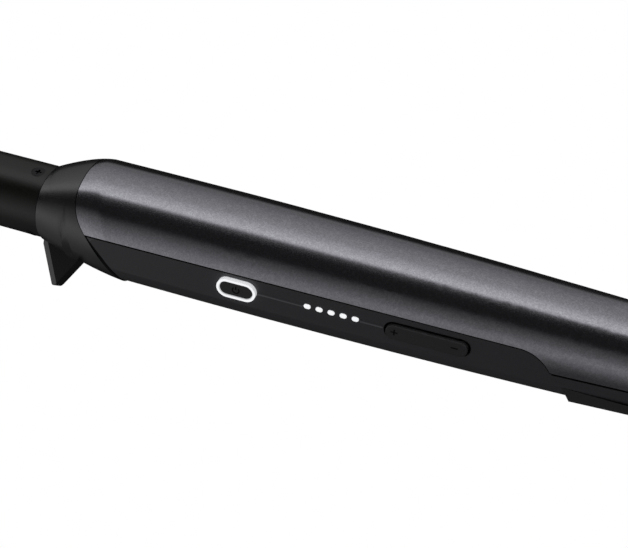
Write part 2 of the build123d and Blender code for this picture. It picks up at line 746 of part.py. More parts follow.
def make_shell_screws():
    """Pan-head screws that close the handle from below."""
    screws = []
    for x in SHELL_SCREWS:
        seat = shell_screw_seat(x)
        head = Pos(x, 0, seat - SHELL_SCREW_HEAD / 2) * Cylinder(SHELL_SCREW_HEAD_R, SHELL_SCREW_HEAD)
        shank = Pos(x, 0, seat + SHELL_SCREW_LENGTH / 2) * Cylinder(SHELL_SCREW_R, SHELL_SCREW_LENGTH)
        screw = head + shank
        for turn in (0, 90):
            bar = Box(2 * SHELL_SCREW_R, CROSS_WIDTH, 2 * CROSS_DEPTH)
            screw -= Pos(x, 0, seat - SHELL_SCREW_HEAD) * Rot(0, 0, turn) * bar
        screws.append(screw)
    return Compound(screws)


def make_rest_pad():
    """Soft foot that fits against the underside and lies in the rest plane."""
    rear = HANDLE_END - PAD_REAR_INSET
    nose = PAD_FRONT + PAD_NOSE
    side = side_face((PAD_FRONT, PAD_TOP_Z), (nose, rest_z(nose)), (rear, rest_z(rear)), (rear, PAD_TOP_Z))
    half_top = PAD_TOP_WIDTH / 2
    half_foot = PAD_FOOT_WIDTH / 2
    foot_z = rest_z(PAD_FRONT)
    corners = [(-half_foot, foot_z), (half_foot, foot_z), (half_top, PAD_TOP_Z), (-half_top, PAD_TOP_Z)]
    section = Plane.YZ * make_face(Polyline(*corners, close=True))
    return (extrude(section, HANDLE_END) & side_slab(side)) - lower_outside()


def make_rear_cap():
    """Rear cap whose grooved neck is caught by the shells' ring rib."""
    face_x = CAP_END - CAP_LENGTH
    body = rod(face_x, CAP_END, HANDLE_REAR_R)
    body = fillet(body.edges().sort_by(Axis.X)[-1], CAP_ROUND)
    shape = body + rod(NECK_FRONT, face_x, CAP_NECK_R)
    groove_end = CAP_RIB_X + CAP_RIB_THICK + SEAT_GAP
    shape -= tube(CAP_RIB_X - SEAT_GAP, groove_end, HANDLE_REAR_R, CAP_RIB_R - SEAT_GAP)
    return shape - rod(NECK_FRONT, CAP_END, GLAND_R)


def make_swivel_gland():
    """Turning cord gland: head outside, journal in the cap, tail for the slip rings."""
    head_front = CAP_END + MOVE_GAP
    end = head_front + GLAND_LENGTH
    head = turned((head_front, 0), (end, 0), (end, GLAND_END_R), (head_front, GLAND_HEAD_R))
    head = fillet(head.edges().group_by(Axis.X)[-1], GLAND_ROUND)
    shape = head + rod(NECK_FRONT, head_front, GLAND_R - RUN_GAP)
    shape += rod(TAIL_FRONT, NECK_FRONT, GLAND_TAIL_R)
    groove_end = CLIP_FRONT + CLIP_THICK + SEAT_GAP
    shape -= tube(CLIP_FRONT - SEAT_GAP, groove_end, GLAND_R, GLAND_TAIL_R - CLIP_GROOVE)
    return shape - rod(TAIL_FRONT, end, CORD_BORE_R)


def make_swivel_clip():
    """Open spring clip in the gland's groove."""
    inner = GLAND_TAIL_R - CLIP_GROOVE + SEAT_GAP
    shape = tube(CLIP_FRONT, CLIP_FRONT + CLIP_THICK, CLIP_R, inner)
    mouth = Box(2 * CLIP_R, 2 * inner * cos(radians(CLIP_MOUTH_TURN)), 2 * CLIP_R)
    return shape - Pos(CLIP_FRONT, 0, CLIP_R) * mouth


def slip_ring_places():
    """Middle of each slip ring along the axis."""
    first = TAIL_FRONT + SLIP_RING_INSET
    return [first, first + SLIP_RING_SPACING]


def make_slip_rings():
    """Brass rings on the gland's tail."""
    inner = GLAND_TAIL_R + SEAT_GAP
    half = SLIP_RING_WIDTH / 2
    return Compound([tube(x - half, x + half, inner + SLIP_RING_WALL, inner) for x in slip_ring_places()])


def block_middle():
    """Middle of the contact block along the axis."""
    return sum(slip_ring_places()) / 2


def make_contact_block():
    """Insulating block on the lower shell's floor."""
    x = block_middle()
    height = handle_radius(x) + BLOCK_TOP_Z
    block = Pos(x, 0, BLOCK_TOP_Z - height / 2) * Box(BLOCK_LENGTH, BLOCK_WIDTH, height)
    floor = handle_form(HANDLE_WALL + SEAT_GAP, 0)
    wall = across_panel(PANEL_MID_X, Pos(0, 0, FAR / 2 - PANEL_WALL - SEAT_GAP) * Box(FAR, FAR, FAR))
    return (block & floor) - wall


def make_contact_springs():
    """Spring strips that stand on the block beside the slip rings."""
    ring_r = GLAND_TAIL_R + SEAT_GAP + SLIP_RING_WALL
    y = -(ring_r + CONTACT_GAP + CONTACT_THICK / 2)
    height = CONTACT_TOP_Z - BLOCK_TOP_Z
    strip = Box(CONTACT_WIDTH, CONTACT_THICK, height)
    return Compound([Pos(x, y, BLOCK_TOP_Z + height / 2) * strip for x in slip_ring_places()])


def make_control_board():
    """Control board on the posts behind the flank."""
    board = Box(BOARD_LENGTH, BOARD_WIDTH, BOARD_THICK)
    board = Pos(BOARD_MIDDLE, BOARD_Y, BOARD_UNDER + BOARD_THICK / 2) * board
    for place in board_screw_places():
        board -= place * Cylinder(BOARD_SCREW_R + SEAT_GAP, REACH)
    return PANEL * board


def board_screw_places():
    """Places of the board's screws in the panel frame."""
    ends = (BOARD_FRONT + POST_INSET, BOARD_REAR - POST_INSET)
    return [Pos(x, BOARD_Y + y, BOARD_UNDER) for x in ends for y in (-POST_Y, POST_Y)]


def make_board_screws():
    """Screws that hold the board to its posts."""
    shank = Pos(0, 0, BOARD_SCREW_LENGTH / 2) * Cylinder(BOARD_SCREW_R, BOARD_SCREW_LENGTH)
    screw = shank + Pos(0, 0, -BOARD_SCREW_HEAD / 2) * Cylinder(BOARD_SCREW_HEAD_R, BOARD_SCREW_HEAD)
    return Compound([PANEL * (place * screw) for place in board_screw_places()])


def ring_top():
    """Height of the light ring's rim in the panel frame."""
    return panel_surface(RING_X) + RING_PROUD


def ring_low():
    """Height of the underside of the light ring's flange."""
    return -PANEL_WALL - RING_FLANGE_THICK


def chip_offset():
    """Distance of the ring's light legs from its middle, along the handle."""
    return RING_LENGTH / 2 + RING_FLANGE / 2


def make_power_ring():
    """Glowing ring round the power button, with a flange and two light legs."""
    shape = panel_prism(RING_X, ring_outline(), -PANEL_WALL, ring_top())
    shape += panel_prism(RING_X, ring_outline(RING_FLANGE), ring_low(), -PANEL_WALL)
    leg_low = BOARD_TOP + CHIP_HEIGHT + PRESS_GAP
    for side in (-1, 1):
        leg = Rectangle(RING_FLANGE, RING_LEG_WIDTH)
        shape += panel_prism(RING_X + side * chip_offset(), leg, leg_low, ring_low())
    return shape - panel_prism(RING_X, ring_outline(-RING_BAND), ring_low(), REACH)


def button_stem_low():
    """Height of the power button's stem end."""
    return ring_low() - SEAT_GAP - BUTTON_FLANGE_THICK - BUTTON_STEM


def make_power_button():
    """Power button with a flange under the ring and a stem above its switch."""
    face = ring_outline(-RING_BAND - MOVE_GAP)
    flange_top = ring_low() - SEAT_GAP
    cap = extrude(face, panel_surface(RING_X) + BUTTON_PROUD - flange_top)
    cap = fillet(cap.faces().sort_by(Axis.Z)[-1].edges(), BUTTON_EDGE)
    shape = across_panel(RING_X, Pos(0, 0, flange_top) * cap)
    flange = ring_outline(-RING_BAND + BUTTON_FLANGE)
    shape += panel_prism(RING_X, flange, flange_top - BUTTON_FLANGE_THICK, flange_top)
    return shape + panel_prism(RING_X, Circle(PLUNGER_R), button_stem_low(), flange_top - BUTTON_FLANGE_THICK)


def switch(x, plunger_top):
    """Push switch on the board, drawn with its plunger pressed."""
    top = BOARD_TOP + SWITCH_HEIGHT
    body = panel_prism(x, Rectangle(SWITCH_SIDE, SWITCH_SIDE), BOARD_TOP, top)
    return body + panel_prism(x, Circle(PLUNGER_R), top, plunger_top)


def make_power_switch():
    """Push switch under the power button."""
    return switch(RING_X, button_stem_low() - BUTTON_TRAVEL - PRESS_GAP)


def rocker_foot_offset():
    """Distance of the rocker's feet from its hinge."""
    return ROCKER_LENGTH / 2 - ROCKER_FOOT_INSET


def rocker_top():
    """Height of the rocker's face in the panel frame."""
    return panel_surface(ROCKER_X) + ROCKER_PROUD


def make_heat_switches():
    """Push switches under the two ends of the rocker."""
    foot_low = rocker_top() - ROCKER_THICK - ROCKER_FOOT
    pressed = foot_low - (rocker_foot_offset() + ROCKER_FOOT) * sin(radians(ROCKER_SWING)) - PRESS_GAP
    return Compound([switch(ROCKER_X + side * rocker_foot_offset(), pressed) for side in (-1, 1)])


def make_heat_rocker():
    """Heat rocker with an ear on the hinge pin and a foot over each switch."""
    low = rocker_top() - ROCKER_THICK
    face = extrude(RectangleRounded(ROCKER_LENGTH, ROCKER_WIDTH, ROCKER_ROUND), ROCKER_THICK)
    face = fillet(face.faces().sort_by(Axis.Z)[-1].edges(), ROCKER_EDGE)
    shape = across_panel(ROCKER_X, Pos(0, 0, low) * face)
    ear_low = -(ROCKER_PIN_DEPTH + LUG_MARGIN)
    shape += panel_prism(ROCKER_X, Rectangle(ROCKER_EAR, ROCKER_WIDTH), ear_low, low)
    for side in (-1, 1):
        foot = Rectangle(ROCKER_FOOT, ROCKER_WIDTH / 2)
        shape += panel_prism(ROCKER_X + side * rocker_foot_offset(), foot, low - ROCKER_FOOT, low)
    return shape - rocker_axis_rod(ROCKER_PIN_R + RUN_GAP, BOARD_WIDTH)


def make_rocker_pin():
    """Hinge pin between the rocker's lugs."""
    return rocker_axis_rod(ROCKER_PIN_R, ROCKER_WIDTH + 2 * (ROCKER_GAP + LUG_THICK))


def make_lamp_guide():
    """Clear bar behind the flank with a finger for each lamp and a leg at each end."""
    places = lamp_places()
    low = -PANEL_WALL - GUIDE_THICK
    length = places[-1] - places[0] + 2 * GUIDE_MARGIN
    shape = panel_prism(LAMP_X, Rectangle(length, GUIDE_WIDTH), low, -PANEL_WALL)
    for x in places:
        shape += panel_prism(x, lamp_outline(0), -PANEL_WALL, panel_surface(x) + LAMP_PROUD)
    for side in (-1, 1):
        leg = Rectangle(GUIDE_THICK, GUIDE_WIDTH)
        shape += panel_prism(LAMP_X + side * (length - GUIDE_THICK) / 2, leg, BOARD_TOP, low)
    return shape


def make_lamp_chips():
    """Lamp chips on the board, under the lamps and under the ring's legs."""
    places = lamp_places() + [RING_X - chip_offset(), RING_X + chip_offset()]
    chip = Rectangle(CHIP_LENGTH, CHIP_WIDTH)
    return Compound([panel_prism(x, chip, BOARD_TOP, BOARD_TOP + CHIP_HEIGHT) for x in places])


def on_board_back(x, shape):
    """Shape whose foot is at z = 0, moved to the back of the board with its top facing the axis."""
    return PANEL * (Pos(BOARD_MIDDLE + x, BOARD_Y, BOARD_UNDER) * Rot(180, 0, 0) * shape)


def block_on_foot(size):
    """Box standing on z = 0."""
    return Pos(0, 0, size[2] / 2) * Box(*size)


def make_triac():
    """Power switch element: a moulded body on a bored metal tab."""
    length, width, height = TRIAC_SIZE
    body_length = length - TRIAC_TAB_LENGTH
    shape = block_on_foot((length, width, TRIAC_TAB))
    body = Pos(TRIAC_TAB_LENGTH / 2, 0, TRIAC_TAB + (height - TRIAC_TAB) / 2)
    shape += body * Box(body_length, width, height - TRIAC_TAB)
    hole = Pos(-body_length / 2, 0, TRIAC_TAB / 2) * Cylinder(TRIAC_HOLE_R, 2 * TRIAC_TAB)
    return on_board_back(TRIAC_X, shape - hole)


def make_smoothing_capacitor():
    """Can-shaped capacitor lying on the board."""
    can = Pos(0, 0, SMOOTHING_R) * Rot(0, 90, 0) * Cylinder(SMOOTHING_R, SMOOTHING_LENGTH)
    return on_board_back(SMOOTHING_X, can)


def make_heater_leads():
    """Two wires from the heater plate's tail through the holder to the board."""
    start = CORE_REAR + HEATER_TAIL
    outlet = HOLDER_REAR + HEATER_WIRE_OUT
    x = BOARD_FRONT + HEATER_WIRE_END
    wires = []
    for z in (HEATER_WIRE_Z, -HEATER_WIRE_Z):
        turn = Vector(outlet, HEATER_WIRE_Y, z)
        across = PANEL.to_local_coords(turn).Y
        above = panel_point(x, across, BOARD_UNDER - WIRE_LIFT)
        foot = panel_point(x, across, BOARD_UNDER)
        wires.append(wire([Vector(start, HEATER_WIRE_Y, z), turn, above, foot]))
    return Compound(wires)


def make_mains_leads():
    """Two wires from the contact block to the board."""
    block_front = block_middle() - BLOCK_LENGTH / 2
    turn_x = PANEL_MID_X + BOARD_REAR + MAINS_WIRE_TURN
    wires = []
    for (y, z), (inset, across) in zip(MAINS_WIRE_STARTS, MAINS_WIRE_ENDS):
        above = panel_point(BOARD_REAR - inset, across, BOARD_UNDER - WIRE_LIFT)
        foot = panel_point(BOARD_REAR - inset, across, BOARD_UNDER)
        wires.append(wire([Vector(block_front, y, z), Vector(turn_x, y, z), above, foot]))
    return Compound(wires)


PIECES = {
    "barrel": make_barrel,
    "barrel_tip": make_barrel_tip,
    "barrel_screws": make_barrel_screws,
    "heat_spreader_upper": lambda: spreader_half(SENSOR_R, SENSOR_Z),
    "heat_spreader_lower": lambda: spreader_half(FUSE_R, FUSE_Z),
    "heater_plate": make_heater_plate,
    "temperature_sensor": make_temperature_sensor,
    "thermal_fuse": make_thermal_fuse,
    "barrel_holder": make_barrel_holder,
    "clamp_ring": make_clamp_ring,
    "front_collar": make_front_collar,
    "upper_shell": make_upper_shell,
    "lower_shell": make_lower_shell,
    "shell_screws": make_shell_screws,
    "rest_pad": make_rest_pad,
    "rear_cap": make_rear_cap,
    "control_board": make_control_board,
    "board_screws": make_board_screws,
    "power_switch": make_power_switch,
    "heat_switches": make_heat_switches,
    "lamp_chips": make_lamp_chips,
    "controller_chip": lambda: on_board_back(CONTROLLER_X, block_on_foot(CONTROLLER_SIZE)),
    "triac": make_triac,
    "filter_capacitor": lambda: on_board_back(CAPACITOR_X, block_on_foot(CAPACITOR_SIZE)),
    "smoothing_capacitor": make_smoothing_capacitor,
    "heater_leads": make_heater_leads,
    "mains_leads": make_mains_leads,
    "contact_block": make_contact_block,
    "contact_springs": make_contact_springs,
    "lamp_guide": make_lamp_guide,
    "power_ring": make_power_ring,
    "rocker_pin": make_rocker_pin,
    "power_button": make_power_button,
    "heat_rocker": make_heat_rocker,
    "swivel_gland": make_swivel_gland,
    "swivel_clip": make_swivel_clip,
    "slip_rings": make_slip_rings,
}


def rest_place(solids):
    """Move that stands the iron on its fin and pad, with the middle of its footprint at the origin."""
    lean = Rot(0, degrees(REST_TILT), 0)
    box = Compound([lean * solid for solid in solids]).bounding_box()
    middle = box.center()
    return Pos(-middle.X, -middle.Y, -box.min.Z) * lean


SOLIDS = {name: make() for name, make in PIECES.items()}
PLACE = rest_place(SOLIDS.values())

os.makedirs("parts", exist_ok=True)
for name, solid in SOLIDS.items():
    export_step(PLACE * solid, f"parts/{name}.step")
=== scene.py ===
import json
import math

import bmesh
import bpy
from mathutils import Matrix, Vector


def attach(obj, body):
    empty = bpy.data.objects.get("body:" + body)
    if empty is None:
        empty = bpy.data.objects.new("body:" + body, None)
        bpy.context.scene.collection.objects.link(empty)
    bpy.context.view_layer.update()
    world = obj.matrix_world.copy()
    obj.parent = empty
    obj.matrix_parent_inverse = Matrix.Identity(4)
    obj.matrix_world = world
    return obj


# Looks of a clipless curling iron: olive-black barrel, satin black collar and lower shell,
# gunmetal upper shell, and a lit ring, lamps and rocker on the flat flank.

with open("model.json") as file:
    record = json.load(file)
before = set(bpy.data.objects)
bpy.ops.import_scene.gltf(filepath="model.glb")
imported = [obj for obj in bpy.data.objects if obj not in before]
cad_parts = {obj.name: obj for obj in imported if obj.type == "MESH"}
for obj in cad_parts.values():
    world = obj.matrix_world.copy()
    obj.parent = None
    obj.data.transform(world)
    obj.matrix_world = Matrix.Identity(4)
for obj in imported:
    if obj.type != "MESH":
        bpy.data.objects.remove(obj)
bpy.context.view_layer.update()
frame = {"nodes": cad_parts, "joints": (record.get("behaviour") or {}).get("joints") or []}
NODES = frame["nodes"]
JOINTS = {joint["name"]: joint for joint in frame["joints"]}

# Lengths below are in millimetres and angles in degrees
MM = 0.001

# Iron's own frame: x along the barrel from the collar's rim, y to the far side, z up
HANDLE_END = 182.0
AXIS = Vector(JOINTS["cord_swivel"]["axis"]).normalized()
RIM = Vector(JOINTS["cord_swivel"]["pos_m"]) - AXIS * HANDLE_END * MM
SIDE = Vector((0, 1, 0))
UP = AXIS.cross(SIDE)

# Flat flank that carries the controls
FLANK_OUT = -Vector(JOINTS["power_press"]["axis"]).normalized()
FLANK_UP = Vector(JOINTS["heat_rock"]["axis"]).normalized()
FLANK_ALONG = FLANK_UP.cross(FLANK_OUT)

# Lenses over the lamps
LAMP_UP = 0.5
LAMP_PITCH = 3.4
LAMP_COUNT = 5
LENS_SIZE = (1.9, 1.46, 0.5)
LENS_SEGMENTS = 28

# Glow of the lit ring and lamps: strength on the face and on the walls, and how deep it reaches
GLOW_FACE = 0.8
GLOW_WALL = 0.5
GLOW_DEPTH = 0.6

# Signs printed on the controls, with the places of plus and minus from the middle of the rocker
PRINT_THICK = 0.03
POWER_SIGN_R = 1.15
POWER_SIGN_GAP = 42.0
POWER_SIGN_STEPS = 24
POWER_BAR_RISE = 0.75
SIGN_STROKE = 0.36
SIGN_SIZE = 1.9
PLUS_AT = (-8.7, 0.2)
MINUS_AT = (7.6, 0.2)

# Grey line on the flank, painted as the highlight on the groove's lit lower wall, and the bed beside it that
# fills the groove. A run goes from one end to the other, each given along the handle and out of the flank
# from the middle of the lamps' faces
LINE_RUNS = (((-21.15, -0.198), (-8.08, -0.135)), ((8.08, -0.126), (14.45, -0.142)))
LINE_LOW = -0.15
LINE_HIGH = 0.3
BED_HIGH = 0.87
BED_DEPTH = 0.4

# Black sheet of painted shade behind the collar, standing in for the shadow in the joint's gap: a point on
# its rear edge, x and z, and the sweep of that edge
COLLAR_SHADE = (20.0, -7.7)
COLLAR_SHADE_SWEEP = 45.6

# Black sheets of painted shade below the upper shell, standing in for the shadow in the parting line's gap:
# where they start and end, and at both places the height of their low edge and how far out from the middle
# they begin
PARTING_SHADES = {
    "parting_joint_shade": {"ends": (13.0, 110.0), "low": (-7.13, -5.89), "inner": (14.77, 13.75)},
    "rear_joint_shade": {"ends": (152.6, 182.0), "low": (-10.0, -8.7), "inner": (10.4, 10.0)},
}
SHADE_SIDES = {"near": -1, "far": 1}

# How far a sheet of painted shade is lifted off the shell and its thickness, and what counts as the shell's
# outside: the least distance from the axis and the least share of a face's direction that points away from it
SHADE_PROUD = 0.04
SHADE_THICK = 0.02
SHADE_LEAST_R = 12.5
SHADE_FACING = 0.5

# Corners of the shell's mesh that are nearer than this are merged
WELD = 0.001

# Slanted lines round the flare over which the shading runs smoothly, each a place on the axis and a lowest
# height. Then the reach of the smoothing, the distances from the line at which it is full and gone, and the
# height over which it sets in
FLARE_LEAN = 0.41
COLLAR_BLEND = (6.5, -10.5)
SHELL_BLEND = (22.7, -4.5)
BLEND_REACH = 3.0
BLEND_NEAR = 1.8
BLEND_FAR = 4.0
BLEND_FADE = 2.5
BLEND_SAMPLES = 8

# Grip ribs round the cord gland
GLAND_MID_X = 193.4
GLAND_MID_R = 7.5
GLAND_LEAN = 10.4
RIB_COUNT = 16
RIB_SIZE = (0.9, 1.3, 8.4)
RIB_SEGMENTS = 16

# Ball one across that is scaled to a lens or a rib
BALL_R = 0.5
BALL_RINGS = 14

# Patterns in the finishes: the size of what shows, the least and most roughness or how far it shifts down and
# up, and the depth and strength of a relief
GRAIN_STRENGTH = 0.5
MARK_SIZE = 14.0
MARK_SHIFT = (0.05, 0.07)
FLAKE_SIZE = 0.32
FLAKE_ROUGH = (0.14, 0.19)
FLAKE_RELIEF = (0.003, 0.2)
LACQUER_CLOUD = 1.1
DRAW_LINE = 0.5
DRAW_STRETCH = 50.0
DRAW_ROUGH = (0.3, 0.4)
GRIT_SIZE = 0.35
GRIT_RELIEF = (0.008, 0.4)
METAL_SHIFT = (0.06, 0.08)
METAL_RELIEF = (0.006, 0.3)
SPECK_SHIFT = (0.05, 0.1)
SPECK_RELIEF = (0.01, 0.3)
MILK_CLOUD = 1.5
BEAD_CLOUD = 1.0
BEAD_ROUGH = (0.05, 0.15)

# Sockets of a Mix node for colours
MIX_FIRST = 6
MIX_SECOND = 7
MIX_RESULT = 2

# Camera in the iron's frame: its place, its turn about the vertical and its roll
CAMERA_AT = (156.4, -300.7, -0.5)
CAMERA_TURN = 13.83
CAMERA_ROLL = 15.016
CAMERA_LENS = 63.06
CAMERA_SENSOR = 36.0
CAMERA_CLIP = 10.0

# Half of the floor's side
FLOOR_REACH = 6000.0

# Studio behind the iron: dark below the first and lit above the second share of a direction,
# towards the cord and upwards
BACK_DARK = 0.08
BACK_LIT = 0.3
FLOOR_DARK = -0.45
FLOOR_LIT = -0.2

# Brightness round the iron, in degrees forwards from straight up: dark behind, a box overhead, a card below
BEHIND_TIP = [(-180, 0.32), (-162, 0.21), (-140, 0.17), (-118, 0.03)]
BEHIND = [(-180, 0.1), (-160, 0.06), (-140, 0.04), (-118, 0.02)]
OVERHEAD = [(-80, 0.012), (-43, 0.012), (-35, 0.25), (-29, 0.22), (18, 0.53), (44, 1.08), (46, 1.06),
            (51, 0.09), (62, 0.02), (86, 0.02), (95, 0.1)]
CARD_TIP = [(120, 0.33), (143, 0.58), (160, 0.5), (180, 0.32)]
CARD_MIDDLE = [(120, 0.33), (143, 0.58), (154, 0.5), (166, 0.27), (180, 0.1)]
CARD_CORD = [(113, 0.24), (118, 0.33), (126, 0.36), (135, 0.26), (146, 0.13), (158, 0.07), (180, 0.06)]
LIGHT_TINT = (1.0, 1.0, 1.02)

# Shares of a direction towards the cord at which the card is the tip's, the middle and the cord's one
CARD_TIP_X = -0.75
CARD_MIDDLE_X = -0.45
CARD_CORD_X = -0.15

BLACK = (0.0, 0.0, 0.0, 1.0)
WHITE = (1.0, 1.0, 1.0, 1.0)


def iron_direction(x, y, z):
    """Direction in the iron's frame, as a direction of the scene."""
    return AXIS * x + SIDE * y + UP * z


def iron_point(x, y, z):
    """Point in the iron's frame in millimetres, as a point of the scene in metres."""
    return RIM + iron_direction(x, y, z) * MM


def turned(right, up, out):
    """Turn that takes x, y and z to three directions of the scene."""
    return Matrix((right, up, out)).transposed().to_4x4()


def shifted(x, y, z):
    """Move by millimetres."""
    return Matrix.Translation(Vector((x, y, z)) * MM)


def face_frame(node):
    """Frame in the middle of a control's outer face: x along the handle, y up the flank, z out of it."""
    points = [vertex.co for vertex in NODES[node].data.vertices]
    spans = [[point.dot(way) for point in points] for way in (FLANK_ALONG, FLANK_UP, FLANK_OUT)]
    along, up = [(min(span) + max(span)) / 2 for span in spans[:2]]
    place = FLANK_ALONG * along + FLANK_UP * up + FLANK_OUT * max(spans[2])
    return Matrix.Translation(place) @ turned(FLANK_ALONG, FLANK_UP, FLANK_OUT)


def linear(hex_colour):
    """sRGB hex to linear colour."""
    channels = [int(hex_colour[i:i + 2], 16) / 255 for i in (1, 3, 5)]
    return [c / 12.92 if c <= 0.04045 else ((c + 0.055) / 1.055) ** 2.4 for c in channels] + [1.0]


def per_mm(size_mm):
    """Texture scale that gives features of a size in millimetres on Object coordinates."""
    return 1 / (size_mm * MM)


def spread(rough, shift):
    """Least and most roughness about a middle value."""
    return rough - shift[0], rough + shift[1]


def add(tree, kind, inputs=None, **settings):
    """Adds a node with its settings; inputs maps a socket to a value or to an output to link."""
    item = tree.nodes.new(kind)
    for key, value in settings.items():
        setattr(item, key, value)
    for key, value in (inputs or {}).items():
        if isinstance(value, bpy.types.NodeSocket):
            tree.links.new(value, item.inputs[key])
        else:
            item.inputs[key].default_value = value
    return item


def new_material(name, **sockets):
    """Material with one Principled shader whose uniform values are set on its own sockets."""
    material = bpy.data.materials.new(name)
    material.use_nodes = True
    shader = material.node_tree.nodes["Principled BSDF"]
    for key, value in sockets.items():
        shader.inputs[key.replace("_", " ")].default_value = value
    return material, material.node_tree, shader


def dress(tree, shader, tone, gloss, relief=None, normal=None):
    """Drives a shader by patterns. tone is a pattern with two sRGB colours, gloss one with two roughnesses,
    and relief one with a depth in millimetres and a strength; normal is what the relief stands on."""
    pattern, dark, light = tone
    colour = add(tree, "ShaderNodeMix", {"Factor": pattern, MIX_FIRST: linear(dark),
                                         MIX_SECOND: linear(light)}, data_type="RGBA")
    tree.links.new(colour.outputs[MIX_RESULT], shader.inputs["Base Color"])
    pattern, least, most = gloss
    rough = add(tree, "ShaderNodeMapRange", {"Value": pattern, "To Min": least, "To Max": most})
    tree.links.new(rough.outputs["Result"], shader.inputs["Roughness"])
    if relief:
        pattern, depth_mm, strength = relief
        bump = add(tree, "ShaderNodeBump", {"Height": pattern, "Distance": depth_mm * MM,
                                            "Strength": strength})
        tree.links.new(bump.outputs["Normal"], shader.inputs["Normal"])
        if normal is not None:
            tree.links.new(normal, bump.inputs["Normal"])


def flare_normal(tree, place, middle_x, low_z):
    """Normal that runs smoothly over a slanted line round the flare, where one curve meets the next."""
    across = iron_direction(1, 0, FLARE_LEAN).normalized()
    middle = iron_point(middle_x, 0, 0)
    along = add(tree, "ShaderNodeVectorMath", {0: place, 1: across}, operation="DOT_PRODUCT")
    off = add(tree, "ShaderNodeMath", {0: along.outputs["Value"], 1: middle.dot(across)},
              operation="SUBTRACT")
    away = add(tree, "ShaderNodeMath", {0: off.outputs["Value"]}, operation="ABSOLUTE")
    height = add(tree, "ShaderNodeVectorMath", {0: place, 1: UP}, operation="DOT_PRODUCT")
    low = middle.dot(UP) + low_z * MM
    most = add(tree, "ShaderNodeMapRange", {"Value": height.outputs["Value"], "From Min": low,
                                            "From Max": low + BLEND_FADE * MM, "To Max": BLEND_REACH * MM})
    reach = add(tree, "ShaderNodeMapRange", {"Value": away.outputs["Value"], "From Min": BLEND_NEAR * MM,
                                             "From Max": BLEND_FAR * MM, "To Min": most.outputs["Result"],
                                             "To Max": 0.0})
    soft = add(tree, "ShaderNodeBevel", {"Radius": reach.outputs["Result"]}, samples=BLEND_SAMPLES)
    return soft.outputs["Normal"]


def grained(name, dark, light, grain_mm, depth_mm, rough, shine=0.5, flare=None):
    """Plastic, rubber or ink: a fine grain that breaks the highlight, with faint handling marks.
    A real grain is about 0.1 mm, drawn coarser so that it shows."""
    material, tree, shader = new_material(name, IOR=1.53, Specular_IOR_Level=shine)
    place = add(tree, "ShaderNodeTexCoord").outputs["Object"]
    grain = add(tree, "ShaderNodeTexNoise", {"Vector": place, "Scale": per_mm(grain_mm), "Detail": 3.0})
    marks = add(tree, "ShaderNodeTexNoise", {"Vector": place, "Scale": per_mm(MARK_SIZE), "Detail": 4.0})
    normal = flare_normal(tree, place, *flare) if flare else None
    dress(tree, shader, tone=(grain.outputs["Fac"], dark, light),
          gloss=(marks.outputs["Fac"], *spread(rough, MARK_SHIFT)),
          relief=(grain.outputs["Fac"], depth_mm, GRAIN_STRENGTH), normal=normal)
    return material


def gunmetal_lacquer():
    """Metallic lacquer on ABS: aluminium flakes glitter one by one under a smooth film.
    Real flakes are about 0.05 mm, drawn coarser so that they show."""
    material, tree, shader = new_material("gunmetal_lacquer_on_abs", Metallic=1.0)
    place = add(tree, "ShaderNodeTexCoord").outputs["Object"]
    flakes = add(tree, "ShaderNodeTexVoronoi", {"Vector": place, "Scale": per_mm(FLAKE_SIZE)})
    cloud = add(tree, "ShaderNodeTexNoise", {"Vector": place, "Scale": per_mm(LACQUER_CLOUD), "Detail": 4.0})
    flake = add(tree, "ShaderNodeSeparateColor", {"Color": flakes.outputs["Color"]}).outputs
    tint = add(tree, "ShaderNodeMath", {0: flake["Red"], 1: cloud.outputs["Fac"]}, operation="MULTIPLY")
    dress(tree, shader, tone=(tint.outputs["Value"], "#97969b", "#bdbcc3"),
          gloss=(flake["Green"], *FLAKE_ROUGH), relief=(flake["Blue"], *FLAKE_RELIEF),
          normal=flare_normal(tree, place, *SHELL_BLEND))
    return material


def barrel_coating():
    """Ceramic-filled coating on drawn aluminium: satin olive-black with faint draw lines along the tube.
    Real grit and lines are finer than 0.1 mm, drawn coarser so that they show."""
    material, tree, shader = new_material("ceramic_coating_on_aluminium", IOR=1.65, Metallic=0.25)
    place = add(tree, "ShaderNodeTexCoord").outputs["Object"]
    drawn = add(tree, "ShaderNodeMapping", {"Vector": place, "Scale": (1 / DRAW_STRETCH, 1.0, 1.0)})
    lines = add(tree, "ShaderNodeTexNoise", {"Vector": drawn.outputs["Vector"], "Scale": per_mm(DRAW_LINE)})
    grit = add(tree, "ShaderNodeTexNoise", {"Vector": place, "Scale": per_mm(GRIT_SIZE), "Detail": 2.0})
    dress(tree, shader, tone=(grit.outputs["Fac"], "#0b0b06", "#1a1912"),
          gloss=(lines.outputs["Fac"], *DRAW_ROUGH), relief=(grit.outputs["Fac"], *GRIT_RELIEF))
    return material


def plain_metal(name, dark, light, patch_mm, rough):
    """Turned, rolled or extruded metal: a fine unevenness that spreads the highlight.
    Real tool marks are about 0.1 mm, drawn coarser so that they show."""
    material, tree, shader = new_material(name, Metallic=1.0)
    place = add(tree, "ShaderNodeTexCoord").outputs["Object"]
    noise = add(tree, "ShaderNodeTexNoise", {"Vector": place, "Scale": per_mm(patch_mm), "Detail": 3.0})
    patches = noise.outputs["Fac"]
    dress(tree, shader, tone=(patches, dark, light), gloss=(patches, *spread(rough, METAL_SHIFT)),
          relief=(patches, *METAL_RELIEF))
    return material


